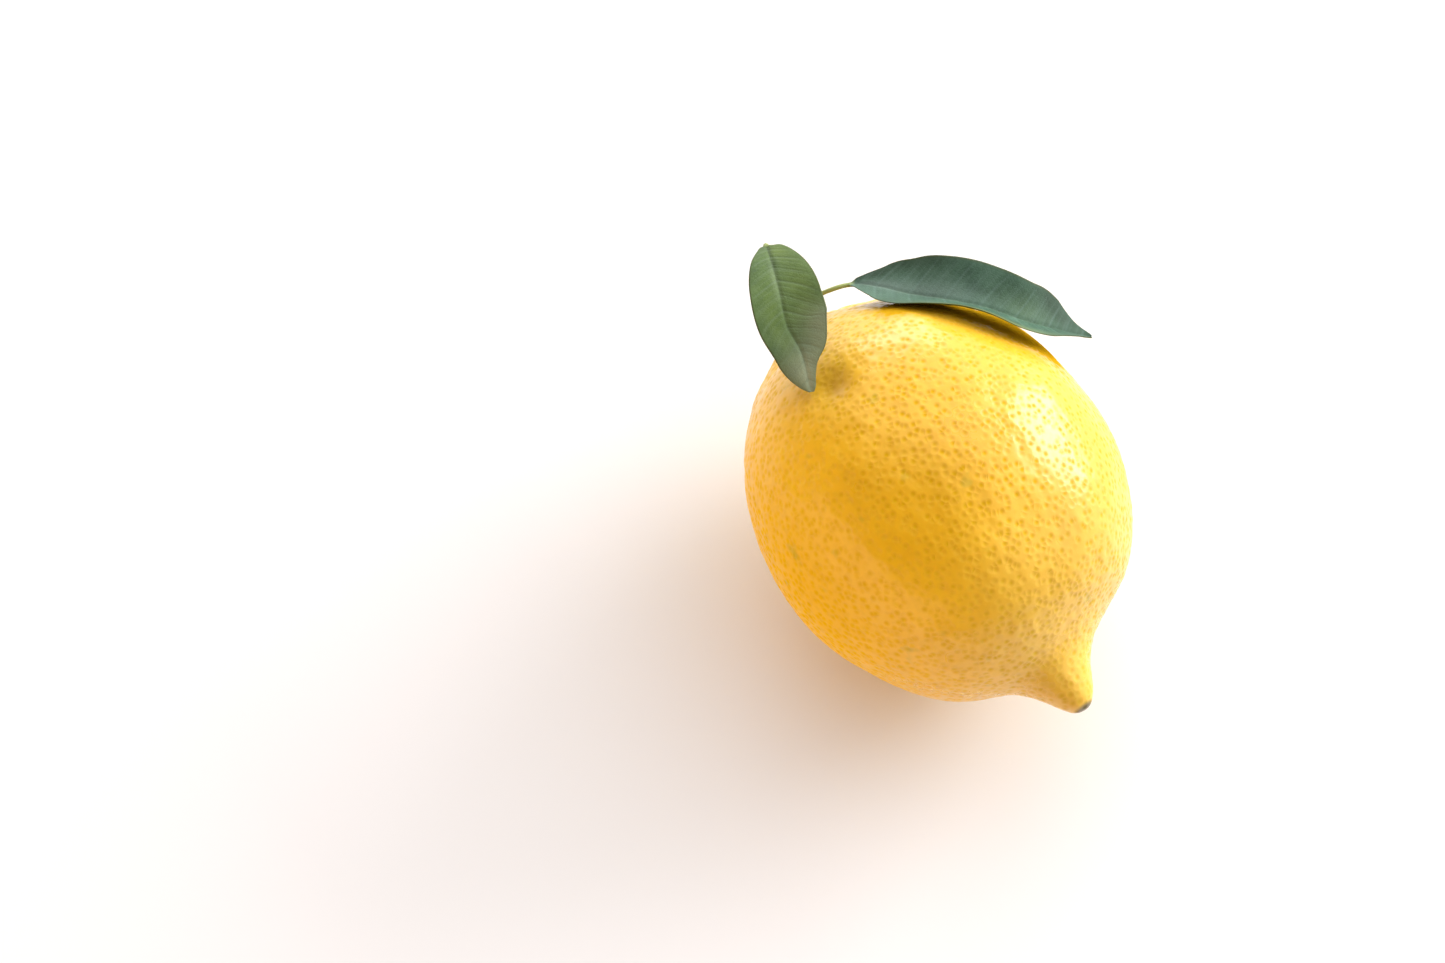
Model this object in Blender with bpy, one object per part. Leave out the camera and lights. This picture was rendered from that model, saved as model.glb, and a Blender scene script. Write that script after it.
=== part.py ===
"""A lemon picked with a short twig and two leaves, lying on its side.

Metres, +Z up. X runs along the fruit, from the stem end at -X to the nipple at +X. The origin
is the middle of the small flat that the fruit rests on.
"""

import bmesh
import bpy
import numpy as np

# Fruit
FRUIT_RADIUS = 0.0310
FRUIT_HALF_LENGTH = 0.0365  # middle of the fruit to its stem end, and to the foot of the nipple
FRUIT_SEGMENTS = 52
FRUIT_ROWS = 36
ROWS_AT_ENDS = 0.72  # how much closer the rows lie at the two ends than evenly, 0 to 1
NIPPLE_HEIGHT = 0.0079
NIPPLE_RADIUS = 0.0054
NIPPLE_BLUNTNESS = 2.4  # 2 is a bell, and more has a flatter top and steeper sides
NIPPLE_SHIFT = 0.0024  # how far the nipple leans to -Y
NIPPLE_SHIFT_RADIUS = 0.0150  # how far from the axis the lean fades out
HOLLOW_DEPTH = 0.0008  # the shallow hollow round the foot of the nipple
HOLLOW_RADIUS = 0.0125
HOLLOW_WIDTH = 0.0055
COLLAR_HEIGHT = 0.0008  # the low swelling round the stem end
COLLAR_RADIUS = 0.0072
COLLAR_WIDTH = 0.0024
SEAT_DEPTH = 0.0014  # the hollow that the calyx sits in
SEAT_RADIUS = 0.0040
REST_FLAT_DEPTH = 0.0004  # how much of the underside is pressed flat by the fruit's weight

# Fits
CLEARANCE = 0.0003  # between any two pieces that meet

# Calyx
CALYX_RADIUS = 0.0042
CALYX_THICKNESS = 0.0009
CALYX_LOBES = 5
CALYX_NOTCH = 0.22  # depth of the notches between the lobes, as a share of the radius
CALYX_SEGMENTS = 40
CALYX_SHARES = (0.06, 0.3, 0.55, 0.8, 0.95, 1.0)  # radii of its rings, as shares of the rim's
CALYX_DOME = 0.7  # how much of its thickness is rounded away at the rim

# Twig
TWIG_RADIUS = 0.0015
TWIG_FOOT_RADIUS = 0.0021
TWIG_FOOT_LENGTH = 0.0020
TWIG_LENGTH = 0.0098
TWIG_RISE = 0.0012  # how far the cut end lies above the fruit's axis
TWIG_SEGMENTS = 20
TWIG_ROWS = 9

# Leaves
BLADE_THICKNESS = 0.0005
RIB_TIP_RADIUS = 0.00015
BLADE_ROWS = 26
BLADE_ROW_POWER = 0.9  # below 1 the rows lie closer towards the tip
PETIOLE_ROWS = 9
BLADE_SHARES = (0.4, 0.7, 0.93)  # places across a half blade, between its rib and its margin
EDGE_ROUNDING = 8.0  # the power of the width that rounds a blade's margin
RIB_SPREAD = 1.2  # where the rib's foot meets the blade, in rib radii from the midrib
RIB_DROP = 1.5  # depth of the rib below the blade, in rib radii
GUIDE_STEPS = 40  # points of a leaf's centre line between two of its guides
TIP_SHARPNESS = 20.0  # the power of the length that narrows a blade to its point
LEAF_BLEND = 0.08  # share of the blade over which the round stalk turns into the flat blade

# A leaf's guides are the points that its stalk and midrib run through. Each is the distance
# past the stem end (less than zero is over the fruit), the angle round the fruit's axis in
# degrees (0 is +Y, 90 is up), and the height above the peel, or above the axis past the end.
LEAF_NEAR = {
    "node": "leaf_near",
    "twig_place": 0.0072,
    "twig_angle": 88.0,
    "guides": (
        (0.0112, 90.0, 0.0105),
        (0.0124, 88.0, 0.0178),
        (0.0078, 93.0, 0.0240),
        (0.0018, 98.0, 0.0275),
        (-0.0042, 103.0, 0.0147),
        (-0.0095, 105.0, 0.0078),
        (-0.0147, 111.0, 0.0018),
    ),
    "petiole_radius": 0.00050,
    "petiole_length": 0.0168,
    "blade_length": 0.0332,
    "left_width": 0.0077,
    "left_widest": 0.98,
    "left_fullness": 1.35,
    "right_width": 0.0053,
    "right_widest": 1.12,
    "right_fullness": 0.46,
    "face_at_base": (-0.50, 0.30, 0.80),
    "face_at_tip": (0.21, -0.16, 0.97),
    "fold": 12.0,
    "colour": (0.11, 0.18, 0.06),
}
LEAF_FAR = {
    "node": "leaf_far",
    "twig_place": 0.0055,
    "twig_angle": 50.0,
    "guides": (
        (0.0021, 60.0, 0.0108),
        (0.0001, 48.0, 0.0142),
        (-0.0036, 44.0, 0.0042),
        (-0.0080, 41.0, 0.0014),
        (-0.0134, 37.0, 0.0012),
        (-0.0187, 32.0, 0.0018),
        (-0.0238, 27.0, 0.0025),
        (-0.0277, 21.0, 0.0041),
        (-0.0317, 15.0, 0.0067),
    ),
    "petiole_radius": 0.00040,
    "petiole_length": 0.0120,
    "blade_length": 0.0452,
    "left_width": 0.0083,
    "left_widest": 1.10,
    "left_fullness": 0.58,
    "right_width": 0.0070,
    "right_widest": 1.02,
    "right_fullness": 0.80,
    "face_at_base": (-0.46, 0.35, 0.82),
    "face_at_tip": (-0.46, 0.35, 0.82),
    "fold": 30.0,
    "colour": (0.07, 0.14, 0.08),
}

# Looks, as linear colours and roughnesses
PEEL_COLOUR = (0.84, 0.37, 0.02)
PEEL_ROUGHNESS = 0.36
CALYX_COLOUR = (0.11, 0.13, 0.04)
CALYX_ROUGHNESS = 0.6
TWIG_COLOUR = (0.09, 0.07, 0.02)
TWIG_ROUGHNESS = 0.7
LEAF_ROUGHNESS = 0.4

AXIS_HEIGHT = FRUIT_RADIUS - REST_FLAT_DEPTH
MERGE_DISTANCE = 1e-6


def material(name, colour, roughness):
    """A plain Principled material in this colour."""
    made = bpy.data.materials.new(name)
    made.use_nodes = True
    shader = made.node_tree.nodes["Principled BSDF"]
    shader.inputs["Base Color"].default_value = (*colour, 1.0)
    shader.inputs["Roughness"].default_value = roughness
    shader.inputs["Metallic"].default_value = 0.0
    return made


def finish(bm, name, made_of):
    """Turns the bmesh into a smooth-shaded object of this name and material."""
    bmesh.ops.recalc_face_normals(bm, faces=bm.faces[:])
    mesh = bpy.data.meshes.new(name)
    bm.to_mesh(mesh)
    bm.free()
    mesh.materials.append(made_of)
    mesh.shade_smooth()
    piece = bpy.data.objects.new(name, mesh)
    bpy.context.scene.collection.objects.link(piece)
    return piece


def skin(rings):
    """A closed skin over rings of points that follow one another, capped at both ends."""
    bm = bmesh.new()
    loops = [[bm.verts.new(point) for point in ring] for ring in rings]
    for near, far in zip(loops, loops[1:]):
        count = len(near)
        for i in range(count):
            j = (i + 1) % count
            bm.faces.new((near[i], near[j], far[j], far[i]))
    bm.faces.new(loops[0][::-1])
    bm.faces.new(loops[-1])
    return bm


def peel_place(radius):
    """X of the peel at the stem end, this far from the axis."""
    ellipse = -FRUIT_HALF_LENGTH * np.sqrt(1.0 - (radius / FRUIT_RADIUS) ** 2)
    collar = COLLAR_HEIGHT * np.exp(-(((radius - COLLAR_RADIUS) / COLLAR_WIDTH) ** 2))
    seat = SEAT_DEPTH * np.exp(-((radius / SEAT_RADIUS) ** 2))
    return ellipse - collar + seat


def peel_radius(past):
    """Radius of the fruit this far past its stem end, which is zero outside the fruit."""
    share = np.clip(1.0 + past / FRUIT_HALF_LENGTH, -1.0, 1.0)
    return FRUIT_RADIUS * np.sqrt(1.0 - share**2)


def fruit_profile():
    """Half outline of the fruit from its stem end to the tip of its nipple, as (x, radius)."""
    even = np.linspace(0.0, 1.0, FRUIT_ROWS + 1)
    turn = 2.0 * np.pi * even
    angle = np.pi * (even - ROWS_AT_ENDS * np.sin(turn) / (2.0 * np.pi))
    radius = FRUIT_RADIUS * np.sin(angle)
    radius[0] = 0.0
    radius[-1] = 0.0
    bell = np.exp(-((radius / NIPPLE_RADIUS) ** NIPPLE_BLUNTNESS))
    hollow = HOLLOW_DEPTH * np.exp(-(((radius - HOLLOW_RADIUS) / HOLLOW_WIDTH) ** 2))
    nose = -FRUIT_HALF_LENGTH * np.cos(angle) + NIPPLE_HEIGHT * bell - hollow
    return zip(np.where(angle < np.pi / 2.0, peel_place(radius), nose), radius)


def make_fruit():
    """The outline turned round the axis, its nipple leant over, and its underside cut flat."""
    bm = bmesh.new()
    outline = [bm.verts.new((x, 0.0, radius)) for x, radius in fruit_profile()]
    edges = [bm.edges.new(pair) for pair in zip(outline, outline[1:])]
    bmesh.ops.spin(
        bm,
        geom=outline + edges,
        cent=(0.0, 0.0, 0.0),
        axis=(1.0, 0.0, 0.0),
        angle=2.0 * np.pi,
        steps=FRUIT_SEGMENTS,
        use_duplicate=False,
    )
    bmesh.ops.remove_doubles(bm, verts=bm.verts[:], dist=MERGE_DISTANCE)
    for vert in bm.verts:
        if vert.co.x > 0.0:
            off_axis = np.hypot(vert.co.y, vert.co.z)
            vert.co.y -= NIPPLE_SHIFT * np.exp(-((off_axis / NIPPLE_SHIFT_RADIUS) ** 2))
        vert.co.z += AXIS_HEIGHT
    whole = bm.verts[:] + bm.edges[:] + bm.faces[:]
    bmesh.ops.bisect_plane(
        bm,
        geom=whole,
        dist=MERGE_DISTANCE,
        plane_co=(0.0, 0.0, 0.0),
        plane_no=(0.0, 0.0, 1.0),
        clear_inner=True,
    )
    rim = [edge for edge in bm.edges if edge.is_boundary]
    bmesh.ops.contextual_create(bm, geom=rim)
    return finish(bm, "fruit", material("lemon_peel", PEEL_COLOUR, PEEL_ROUGHNESS))


def make_calyx():
    """A thin five-lobed button whose underside follows the hollow in the peel."""
    turn = np.linspace(0.0, 2.0 * np.pi, CALYX_SEGMENTS, endpoint=False)
    lobed = 1.0 - CALYX_NOTCH * (0.5 + 0.5 * np.cos(CALYX_LOBES * turn))
    under = [(share, 0.0) for share in CALYX_SHARES]
    over = [(share, np.sqrt(1.0 - CALYX_DOME * share**2)) for share in CALYX_SHARES[::-1]]
    rings = []
    for share, lift in under + over:
        radius = CALYX_RADIUS * share * lobed
        x = peel_place(radius) - CLEARANCE - CALYX_THICKNESS * lift
        ring = np.stack((x, radius * np.cos(turn), radius * np.sin(turn) + AXIS_HEIGHT), axis=1)
        rings.append(ring)
    green = material("calyx_green", CALYX_COLOUR, CALYX_ROUGHNESS)
    return finish(skin(rings), "calyx", green)


def twig_centre(past):
    """Centre of the twig this far past the stem end. It rises gently towards its cut end."""
    rise = TWIG_RISE * (np.clip(past, 0.0, None) / TWIG_LENGTH) ** 2
    return np.array((-FRUIT_HALF_LENGTH - past, 0.0, AXIS_HEIGHT + rise))


def twig_radius(past):
    """Radius of the twig this far past the stem end. Its foot flares to meet the calyx."""
    flare = (TWIG_FOOT_RADIUS - TWIG_RADIUS) * np.exp(-((past / TWIG_FOOT_LENGTH) ** 2))
    return TWIG_RADIUS + flare


def make_twig():
    """A short round stalk from the calyx to its cut end."""
    calyx_top = CALYX_THICKNESS + CLEARANCE - peel_place(TWIG_FOOT_RADIUS) - FRUIT_HALF_LENGTH
    turn = np.linspace(0.0, 2.0 * np.pi, TWIG_SEGMENTS, endpoint=False)
    around = np.stack((np.zeros_like(turn), np.cos(turn), np.sin(turn)), axis=1)
    places = np.linspace(calyx_top + CLEARANCE, TWIG_LENGTH, TWIG_ROWS)
    rings = [twig_centre(past) + twig_radius(past) * around for past in places]
    return finish(skin(rings), "twig", material("twig_bark", TWIG_COLOUR, TWIG_ROUGHNESS))


def place_round_fruit(past, angle, radius):
    """The point this far past the stem end, at this angle and distance from the fruit's axis."""
    turn = np.radians(angle)
    across = (-FRUIT_HALF_LENGTH - past, radius * np.cos(turn), radius * np.sin(turn))
    return np.array(across) + (0.0, 0.0, AXIS_HEIGHT)


def smooth_path(points):
    """A Catmull-Rom curve through the points, as closely spaced points."""
    before = 2.0 * points[0] - points[1]
    after = 2.0 * points[-1] - points[-2]
    knots = np.vstack((before, points, after))
    t = np.linspace(0.0, 1.0, GUIDE_STEPS, endpoint=False)[:, None]
    runs = []
    for a, b, c, d in zip(knots, knots[1:], knots[2:], knots[3:]):
        cubic = (3.0 * (b - c) + d - a) * t**3 + (2.0 * a - 5.0 * b + 4.0 * c - d) * t**2
        runs.append(b + 0.5 * ((c - a) * t + cubic))
    return np.vstack(runs + [points[-1:]])


def along_path(path, distances):
    """Points at these distances along the path, which runs on straight past its end."""
    steps = np.linalg.norm(np.diff(path, axis=0), axis=1)
    reach = np.concatenate(([0.0], np.cumsum(steps)))
    inside = [np.interp(distances, reach, path[:, axis]) for axis in range(3)]
    beyond = np.clip(distances - reach[-1], 0.0, None)[:, None]
    onward = (path[-1] - path[-2]) / steps[-1]
    return np.stack(inside, axis=1) + beyond * onward


def unit(vectors):
    return vectors / np.linalg.norm(vectors, axis=-1, keepdims=True)


def leaf_path(leaf):
    """Centre line of a leaf's stalk and midrib, from just off the twig through its guides."""
    place = leaf["twig_place"]
    turn = np.radians(leaf["twig_angle"])
    outward = np.array((0.0, np.cos(turn), np.sin(turn)))
    off_twig = twig_radius(place) + CLEARANCE + leaf["petiole_radius"]
    points = [twig_centre(place) + off_twig * outward]
    for past, angle, height in leaf["guides"]:
        points.append(place_round_fruit(past, angle, peel_radius(past) + height))
    return smooth_path(np.array(points))


def half_outline(leaf, half, share):
    """Width of one half of a blade at this share of its length, as a share of its greatest."""
    swell = np.clip(np.sin(np.pi * share ** leaf[half + "_widest"]), 0.0, None)
    return swell ** leaf[half + "_fullness"] * (1.0 - share**TIP_SHARPNESS)


def half_section(leaf, half, share):
    """One half of a leaf's section, from the midrib to the margin, at a share of its blade.

    It gives the distance out from the midrib and the heights of the upper and the lower skin.
    The section is half a disc on the stalk. Over the start of the blade it turns into a thin
    plate that slopes up to its margin, with a rib below its midrib.
    """
    flat = min(share / LEAF_BLEND, 1.0)
    stalk_radius = leaf["petiole_radius"]
    rib = stalk_radius + (RIB_TIP_RADIUS - stalk_radius) * share
    outline = half_outline(leaf, half, share)
    reach = max(rib, leaf[half + "_width"] * outline)
    rib_foot = min(RIB_SPREAD * rib / reach, 0.5 * BLADE_SHARES[0])
    plate_shares = np.array((0.0, rib_foot, *BLADE_SHARES, 1.0))
    disc_shares = np.sin(np.linspace(0.0, 0.5 * np.pi, len(plate_shares)))
    across = flat * plate_shares + (1.0 - flat) * disc_shares
    out = reach * across
    disc = rib * np.sqrt(1.0 - np.clip(across, 0.0, 1.0) ** 2)
    plate = 0.5 * BLADE_THICKNESS * np.sqrt(1.0 - np.clip(across, 0.0, 1.0) ** EDGE_ROUNDING)
    ridge = RIB_DROP * rib * np.exp(-((out / rib) ** 2))
    slope = np.radians(leaf["fold"]) * flat * outline
    middle = out * np.sin(slope)
    upper = middle + flat * plate + (1.0 - flat) * disc
    lower = middle - flat * np.maximum(plate, ridge) - (1.0 - flat) * disc
    upper[-1] = middle[-1]
    lower[-1] = middle[-1]
    return out * np.cos(slope), upper, lower


def leaf_rings(leaf):
    """Cross-sections of a leaf along its stalk and blade, each a closed ring of points."""
    stalk = leaf["petiole_length"]
    blade = leaf["blade_length"]
    on_stalk = np.linspace(0.0, stalk, PETIOLE_ROWS, endpoint=False)
    on_blade = stalk + blade * np.linspace(0.0, 1.0, BLADE_ROWS) ** BLADE_ROW_POWER
    distances = np.concatenate((on_stalk, on_blade))
    centre = along_path(leaf_path(leaf), distances)
    tangent = unit(np.gradient(centre, axis=0))
    shares = np.clip((distances - stalk) / blade, 0.0, 1.0)
    face = np.outer(1.0 - shares, leaf["face_at_base"]) + np.outer(shares, leaf["face_at_tip"])
    face = unit(face - tangent * np.sum(face * tangent, axis=1, keepdims=True))
    side = np.cross(tangent, face)
    rings = []
    for at, out_way, up_way, share in zip(centre, side, face, shares):
        out, upper, lower = half_section(leaf, "left", share)
        left_over = at - np.outer(out, out_way) + np.outer(upper, up_way)
        left_under = at - np.outer(out, out_way) + np.outer(lower, up_way)
        out, upper, lower = half_section(leaf, "right", share)
        right_over = at + np.outer(out, out_way) + np.outer(upper, up_way)
        right_under = at + np.outer(out, out_way) + np.outer(lower, up_way)
        ring = (left_over[:0:-1], right_over, right_under[-2:0:-1], left_under[:-1])
        rings.append(np.vstack(ring))
    return rings


def make_leaf(leaf):
    """One leaf, blade, midrib and stalk in one piece."""
    green = material(leaf["node"] + "_green", leaf["colour"], LEAF_ROUGHNESS)
    return finish(skin(leaf_rings(leaf)), leaf["node"], green)


for old in list(bpy.data.objects):
    bpy.data.objects.remove(old, do_unlink=True)

make_fruit()
make_calyx()
make_twig()
make_leaf(LEAF_NEAR)
make_leaf(LEAF_FAR)
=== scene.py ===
"""A ripe lemon on a short twig with two leaves, lying on its side. Metres, +Z up."""

import bpy
import numpy as np
from mathutils import Matrix, Vector


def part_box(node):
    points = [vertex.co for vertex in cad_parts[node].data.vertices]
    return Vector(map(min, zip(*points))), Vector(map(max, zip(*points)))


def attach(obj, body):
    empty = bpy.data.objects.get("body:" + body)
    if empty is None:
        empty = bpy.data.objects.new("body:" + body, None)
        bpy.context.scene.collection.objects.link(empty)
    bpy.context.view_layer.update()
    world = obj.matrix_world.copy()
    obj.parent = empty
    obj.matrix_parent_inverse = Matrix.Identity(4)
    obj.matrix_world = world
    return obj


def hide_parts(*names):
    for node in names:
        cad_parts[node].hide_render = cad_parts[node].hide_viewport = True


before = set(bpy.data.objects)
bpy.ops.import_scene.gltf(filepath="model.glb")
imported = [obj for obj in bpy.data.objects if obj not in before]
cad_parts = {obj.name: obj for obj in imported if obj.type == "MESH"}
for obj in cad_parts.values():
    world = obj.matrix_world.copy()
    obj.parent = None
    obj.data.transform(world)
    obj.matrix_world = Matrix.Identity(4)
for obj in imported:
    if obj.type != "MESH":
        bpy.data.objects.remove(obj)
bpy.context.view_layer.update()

# ---------------------------------------------------------------------------------------------
# The peel of the fruit: thick leathery skin full of small oil glands, which show as pits with a
# darker floor among low lumps. It grew in one piece with its nipple and is closed all over. The
# fruit's weight presses a small flat underneath it.

peel_low, peel_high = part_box("fruit")
PEEL_RADIUS = 0.5 * (peel_high.y - peel_low.y)
AXIS_HEIGHT = peel_high.z - PEEL_RADIUS
HALF_LENGTH = 0.0365
PEEL_ROWS = 246
PEEL_AROUND = 400
# The rows start this far from the poles, and crowd towards them by this much.
POLE_GAP = 0.012
POLE_CROWDING = 0.21
NIPPLE = {"height": 0.0079, "radius": 0.0054, "bluntness": 2.4, "lean": 0.0024, "lean_radius": 0.0150}
FOOT_HOLLOW = {"depth": 0.0008, "radius": 0.0125, "width": 0.0055}
COLLAR = {"height": 0.0008, "radius": 0.0072, "width": 0.0024}
SEAT = {"depth": 0.0014, "radius": 0.0040}
DIMPLE = {"centre": (-0.0206, -0.0062, 0.0555), "depth": 0.0013, "radius": 0.0034}
# Folds round the stem end. Their angle wavers by an amount, over a wavelength, from a seed.
PLEATS = {"count": 9, "depth": 0.00035, "radius": 0.0105, "width": 0.0052, "waver": (2.0, 0.030, 3)}
WRINKLES = {"count": 37, "depth": 0.00005, "radius": 0.0115, "width": 0.0040, "waver": (1.3, 0.013, 4)}
# Lumps all over the peel: height, wavelength, seed and number of waves.
BROAD_LUMPS = (0.00016, 0.021, 5, 24)
MIDDLING_LUMPS = (0.00004, 0.0065, 6, 24)
FINE_LUMPS = (0.000022, 0.0024, 7, 32)
# The fine lumps fade by this share towards the flat underneath, over this height.
FLAT = {"fading": 0.8, "height": 0.004}
SCAR = {"radius": 0.0021, "edge": 0.00035}
# Pores: cells to the metre, how unevenly they lie, and the radius and reach in depth of a pore as
# shares of a cell.
PORES = {"per_metre": 740.0, "unevenness": 0.85, "edge": (0.00, 0.60), "reach": (0.36, 0.66)}
PORE_SHADE = (0.82, 0.82, 0.60, 1.0)
# The peel's colour, from the paler yellow side to the deep orange side towards -Y, where the deeper orange
# is painted warm bounce light.
PEEL_TONES = (
    (0.20, (0.69, 0.410, 0.036)),
    (0.50, (0.725, 0.390, 0.012)),
    (0.95, (0.97, 0.56, 0.010)),
)
PALE_END = (0.88, 0.60, 0.120, 1.0)
MOTTLE_SHADE = (0.88, 0.86, 0.70, 1.0)
FLECK_GREEN = (0.38, 0.36, 0.03, 1.0)
# Painted shade that darkens the shoulder dimple.
DIMPLE_SHADE_OCHRE = (0.46, 0.24, 0.004, 1.0)
# Painted shadow of the far leaf on the peel.
LEAF_SHADOW_OCHRE = (0.48, 0.25, 0.004, 1.0)
SCAR_GREY = (0.10, 0.10, 0.06, 1.0)
# Painted shadow of the far leaf: a band of peel under it, darkened to ochre and with its gloss turned down.
# Its knots: x, degrees round the axis, and half width.
LEAF_SHADOW_BAND = (
    (-0.0265, 58.0, 0.0027),
    (-0.0236, 45.0, 0.0033),
    (-0.0174, 32.0, 0.0038),
    (-0.0111, 27.0, 0.0044),
    (-0.0066, 21.0, 0.0038),
)
LEAF_SHADOW_STEPS = 18
LEAF_SHADOW_STRENGTH = 2.0


def bell(distance, radius):
    """1 at distance 0, falling to zero past the radius as exp(-(distance / radius)^2)."""
    return np.exp(-((distance / radius) ** 2))


def peel_profile(turn):
    """Half outline of the fruit, as x and radius, for turn from 0 at the stem to pi at the tip.

    An ellipse, with a seat and a collar added at the stem end. At the other end it has a blunt
    bell for the nipple and a shallow ring-shaped hollow round the nipple's foot.
    """
    radius = PEEL_RADIUS * np.sin(turn)
    ellipse = -HALF_LENGTH * np.cos(turn)
    collar = COLLAR["height"] * bell(radius - COLLAR["radius"], COLLAR["width"])
    seat = SEAT["depth"] * bell(radius, SEAT["radius"])
    nipple = NIPPLE["height"] * np.exp(-((radius / NIPPLE["radius"]) ** NIPPLE["bluntness"]))
    hollow = FOOT_HOLLOW["depth"] * bell(radius - FOOT_HOLLOW["radius"], FOOT_HOLLOW["width"])
    stem_half = turn < 0.5 * np.pi
    return ellipse + np.where(stem_half, seat - collar, nipple - hollow), radius


def over_peel(x, degrees, height=0.0):
    """Points at this height over the fruit's plain ellipse, by x and angle round its axis."""
    radius = PEEL_RADIUS * np.sqrt(1.0 - np.clip(x / HALF_LENGTH, -1.0, 1.0) ** 2) + height
    around = np.radians(degrees)
    return np.stack((x, radius * np.cos(around), radius * np.sin(around) + AXIS_HEIGHT), axis=-1)


def lumps(points, wavelength, seed, waves=24):
    """Smooth lumps of about this wavelength, with a spread of about 1.

    A sum of sine waves, each running in its own random direction from a random phase.
    """
    draw = np.random.default_rng(seed)
    ways = draw.normal(size=(waves, 3))
    ways /= np.linalg.norm(ways, axis=1, keepdims=True)
    phases = draw.uniform(0.0, 2.0 * np.pi, waves)
    lengths = wavelength * draw.uniform(0.75, 1.35, waves)
    heights = np.sin(points @ (2.0 * np.pi * ways / lengths[:, None]).T + phases)
    return heights.sum(axis=-1) / np.sqrt(0.5 * waves)


def tube_normals(rings):
    """Unit normals of a grid of rings, from the cross product of its two directions."""
    along = np.gradient(rings, axis=0)
    across = np.roll(rings, -1, axis=1) - np.roll(rings, 1, axis=1)
    normals = np.cross(across, along)
    return normals / np.linalg.norm(normals, axis=-1, keepdims=True)


def tube_mesh(name, rings, values=None):
    """A closed skin through rings[row, around], with a fan to the middle of each end ring.

    The faces turn outward: the sum of each quad's area vector times its middle, measured from
    the middle of all, grows with the volume inside and is above zero only then. values maps a
    name to one number for each point of the grid, and each becomes an attribute.
    """
    rows, count = rings.shape[:2]
    start = np.arange(rows - 1)[:, None] * count
    here = np.arange(count)[None, :]
    following = (here + 1) % count
    corners = (start + here, start + count + here, start + count + following, start + following)
    quads = np.stack(corners, axis=-1).reshape(-1, 4)
    near_end = rows * count
    here, following = here[0], following[0]
    last = (rows - 1) * count
    near_fan = np.stack((here, following, np.full(count, near_end)), axis=1)
    far_fan = np.stack((last + following, last + here, np.full(count, near_end + 1)), axis=1)
    ends = rings[[0, -1]].mean(axis=1)
    points = np.vstack((rings.reshape(-1, 3), ends))
    a, b, c, d = (points[quads[:, corner]] for corner in range(4))
    volume = np.sum((a + b + c + d - 4.0 * points.mean(axis=0)) * np.cross(c - a, d - b))
    order = 1 if volume > 0.0 else -1
    faces = quads[:, ::order].tolist() + near_fan[:, ::order].tolist() + far_fan[:, ::order].tolist()
    mesh = bpy.data.meshes.new(name)
    mesh.from_pydata(points, [], faces)
    for value_name, grid in (values or {}).items():
        flat = np.concatenate((grid.ravel(), grid[[0, -1]].mean(axis=1)))
        layer = mesh.attributes.new(value_name, "FLOAT", "POINT")
        layer.data.foreach_set("value", flat.astype(np.float32))
    mesh.shade_smooth()
    piece = bpy.data.objects.new(name, mesh)
    bpy.context.scene.collection.objects.link(piece)
    return piece


def add_node(tree, kind, inputs, **settings):
    """One shader node, with its settings, and with its inputs set to values or joined to sockets."""
    node = tree.nodes.new(kind)
    for setting, value in settings.items():
        setattr(node, setting, value)
    for key, value in inputs.items():
        if isinstance(value, bpy.types.NodeSocket):
            tree.links.new(value, node.inputs[key])
        else:
            node.inputs[key].default_value = value
    return node


def ramp(tree, factor, stops):
    """A colour ramp through (position, colour) stops."""
    node = add_node(tree, "ShaderNodeValToRGB", {"Fac": factor})
    while len(node.color_ramp.elements) < len(stops):
        node.color_ramp.elements.new(1.0)
    for element, (position, colour) in zip(node.color_ramp.elements, stops):
        element.position = position
        element.color = (*colour, 1.0)
    return node.outputs["Color"]


def spread(tree, value, low, high, to_low=0.0, to_high=1.0):
    """The value, carried smoothly from the range low to high onto the range to_low to to_high."""
    limits = {"Value": value, "From Min": low, "From Max": high, "To Min": to_low, "To Max": to_high}
    node = add_node(tree, "ShaderNodeMapRange", limits, interpolation_type="SMOOTHSTEP")
    return node.outputs["Result"]


def times(tree, first, second):
    """The product of two values."""
    return add_node(tree, "ShaderNodeMath", {0: first, 1: second}, operation="MULTIPLY").outputs[0]


def plus(tree, first, second):
    """The sum of two values."""
    return add_node(tree, "ShaderNodeMath", {0: first, 1: second}, operation="ADD").outputs[0]


def unsigned(tree, value):
    """The value without its sign."""
    return add_node(tree, "ShaderNodeMath", {0: value}, operation="ABSOLUTE").outputs[0]


def own_place(tree):
    """Each point's place on the piece itself, in metres."""
    return add_node(tree, "ShaderNodeTexCoord", {}).outputs["Object"]


def noise(tree, place, scale, detail, roughness=0.5):
    """Smooth noise around 0.5, with this many cells to the metre."""
    inputs = {"Vector": place, "Scale": scale, "Detail": detail, "Roughness": roughness}
    return add_node(tree, "ShaderNodeTexNoise", inputs).outputs["Fac"]


def mark(tree, name):
    """The number that the mesh holds under this name."""
    return add_node(tree, "ShaderNodeAttribute", {}, attribute_name=name).outputs["Fac"]


def tint(tree, factor, under, over, blend="MIX"):
    """Two colours mixed: under where the factor is 0, and over where it is 1."""
    inputs = {0: factor, 6: under, 7: over}
    node = add_node(tree, "ShaderNodeMix", inputs, data_type="RGBA", blend_type=blend)
    return node.outputs[2]


def roughen(tree, shader, height, distance, strength):
    """Bump: a height of 1 stands this distance out of the surface."""
    bump = add_node(tree, "ShaderNodeBump", {"Height": height, "Distance": distance, "Strength": strength})
    tree.links.new(bump.outputs["Normal"], shader.inputs["Normal"])


def new_finish(name, **constants):
    """A Principled material. The constants go on the shader's own sockets."""
    made = bpy.data.materials.new(name)
    made.use_nodes = True
    shader = made.node_tree.nodes["Principled BSDF"]
    for key, value in constants.items():
        shader.inputs[key.replace("_", " ")].default_value = value
    return made, made.node_tree, shader


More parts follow.
